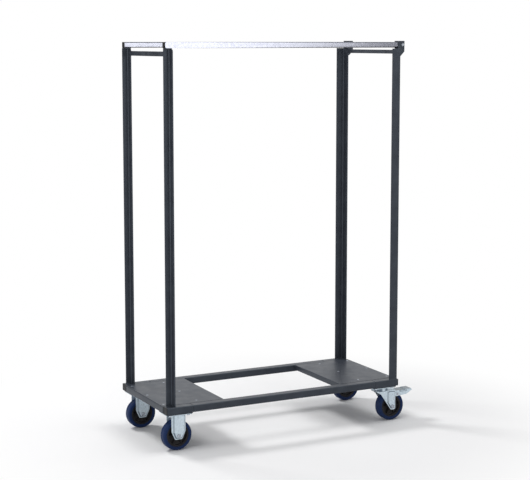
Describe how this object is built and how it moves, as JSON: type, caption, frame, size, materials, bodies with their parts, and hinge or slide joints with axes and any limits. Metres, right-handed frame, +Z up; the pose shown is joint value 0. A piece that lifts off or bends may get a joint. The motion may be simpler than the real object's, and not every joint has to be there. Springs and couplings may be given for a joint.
{
  "type": "folding chair cart",
  "caption": "Steel trolley with an open rectangular base on fixed and swivel castors, angle posts, end rails and square top bars that swing up and over.",
  "frame": {"origin": "on the floor under the middle of the cart's box, at rest with the swivel castors trailing to +X", "axes": "+X along the length to the swivel castors and the bars' pivots, +Y to the back, +Z up"},
  "size_m": [1.505, 0.61, 2.095],
  "materials": {
    "painted_frame": "anthracite powder coat, satin, fine orange peel",
    "galvanised_tube": "galvanised, faint spangle",
    "zinc_castor": "bright zinc plating on pressed steel",
    "zinc_fasteners": "bright zinc plating",
    "black_plastic": "moulded, matt",
    "hub": "moulded polyamide, matt",
    "tyre": "elastic solid rubber, satin",
    "bearing_steel": "ground steel"
  },
  "bodies": {
    "frame": {"base_rail_front": "painted_frame", "base_rail_rear": "painted_frame", "end_rail_left": "painted_frame", "end_rail_right": "painted_frame", "cross_rail_left": "painted_frame", "cross_rail_right": "painted_frame", "deck_left": "painted_frame", "deck_right": "painted_frame", "deck_screws": "zinc_fasteners", "rail_caps": "black_plastic", "corner_plates": "painted_frame", "post_front_left": "painted_frame", "post_rear_left": "painted_frame", "post_front_right": "painted_frame", "post_rear_right": "painted_frame", "top_rail_left": "painted_frame", "top_rail_right": "painted_frame", "bar_seat_front": "painted_frame", "bar_seat_rear": "painted_frame", "bar_bracket_front": "painted_frame", "bar_bracket_rear": "painted_frame", "pivot_bolt_front": "zinc_fasteners", "pivot_bolt_rear": "zinc_fasteners", "castor_bolts": "zinc_fasteners", "fork_front_left": "zinc_castor", "axle_front_left": "zinc_fasteners", "fork_rear_left": "zinc_castor", "axle_rear_left": "zinc_fasteners", "castor_plate_front": "zinc_castor", "ball_race_front": "bearing_steel", "king_pin_front": "zinc_fasteners", "castor_plate_rear": "zinc_castor", "ball_race_rear": "bearing_steel", "king_pin_rear": "zinc_fasteners"},
    "wheel_front_left": {"hub_front_left": "hub", "tyre_front_left": "tyre", "bearings_front_left": "bearing_steel"},
    "wheel_rear_left": {"hub_rear_left": "hub", "tyre_rear_left": "tyre", "bearings_rear_left": "bearing_steel"},
    "swivel_front": {"fork_front_right": "zinc_castor", "axle_front_right": "zinc_fasteners", "pedal_rivets_front": "zinc_fasteners"},
    "wheel_front_right": {"hub_front_right": "hub", "tyre_front_right": "tyre", "bearings_front_right": "bearing_steel"},
    "brake_front": {"pedal_front": "zinc_castor", "brake_shoe_front": "black_plastic"},
    "swivel_rear": {"fork_rear_right": "zinc_castor", "axle_rear_right": "zinc_fasteners", "pedal_rivets_rear": "zinc_fasteners"},
    "wheel_rear_right": {"hub_rear_right": "hub", "tyre_rear_right": "tyre", "bearings_rear_right": "bearing_steel"},
    "brake_rear": {"pedal_rear": "zinc_castor", "brake_shoe_rear": "black_plastic"},
    "bar_front": {"top_bar_front": "galvanised_tube", "bar_caps_front": "black_plastic"},
    "bar_rear": {"top_bar_rear": "galvanised_tube", "bar_caps_rear": "black_plastic"}
  },
  "joints": [
    {"name": "wheel_front_left_spin", "type": "hinge", "parent": "frame", "child": "wheel_front_left", "pos_m": [-0.6725, -0.241, 0.08], "axis": [0, 1, 0], "continuous": true},
    {"name": "wheel_rear_left_spin", "type": "hinge", "parent": "frame", "child": "wheel_rear_left", "pos_m": [-0.6725, 0.241, 0.08], "axis": [0, 1, 0], "continuous": true},
    {"name": "swivel_front_turn", "type": "hinge", "parent": "frame", "child": "swivel_front", "pos_m": [0.5595, -0.241, 0.17], "axis": [0, 0, 1], "continuous": true},
    {"name": "wheel_front_right_spin", "type": "hinge", "parent": "swivel_front", "child": "wheel_front_right", "pos_m": [0.6215, -0.241, 0.08], "axis": [0, 1, 0], "continuous": true},
    {"name": "brake_front_press", "type": "hinge", "parent": "swivel_front", "child": "brake_front", "pos_m": [0.6555, -0.241, 0.145], "axis": [0, 1, 0], "range_deg": [0, 6]},
    {"name": "swivel_rear_turn", "type": "hinge", "parent": "frame", "child": "swivel_rear", "pos_m": [0.5595, 0.241, 0.17], "axis": [0, 0, 1], "continuous": true},
    {"name": "wheel_rear_right_spin", "type": "hinge", "parent": "swivel_rear", "child": "wheel_rear_right", "pos_m": [0.6215, 0.241, 0.08], "axis": [0, 1, 0], "continuous": true},
    {"name": "brake_rear_press", "type": "hinge", "parent": "swivel_rear", "child": "brake_rear", "pos_m": [0.6555, 0.241, 0.145], "axis": [0, 1, 0], "range_deg": [0, 6]},
    {"name": "bar_front_lift", "type": "hinge", "parent": "frame", "child": "bar_front", "pos_m": [0.6525, -0.271, 2.074], "axis": [0, 1, 0], "range_deg": [0, 270]},
    {"name": "bar_rear_lift", "type": "hinge", "parent": "frame", "child": "bar_rear", "pos_m": [0.6525, 0.271, 2.074], "axis": [0, 1, 0], "range_deg": [0, 270]}
  ]
}
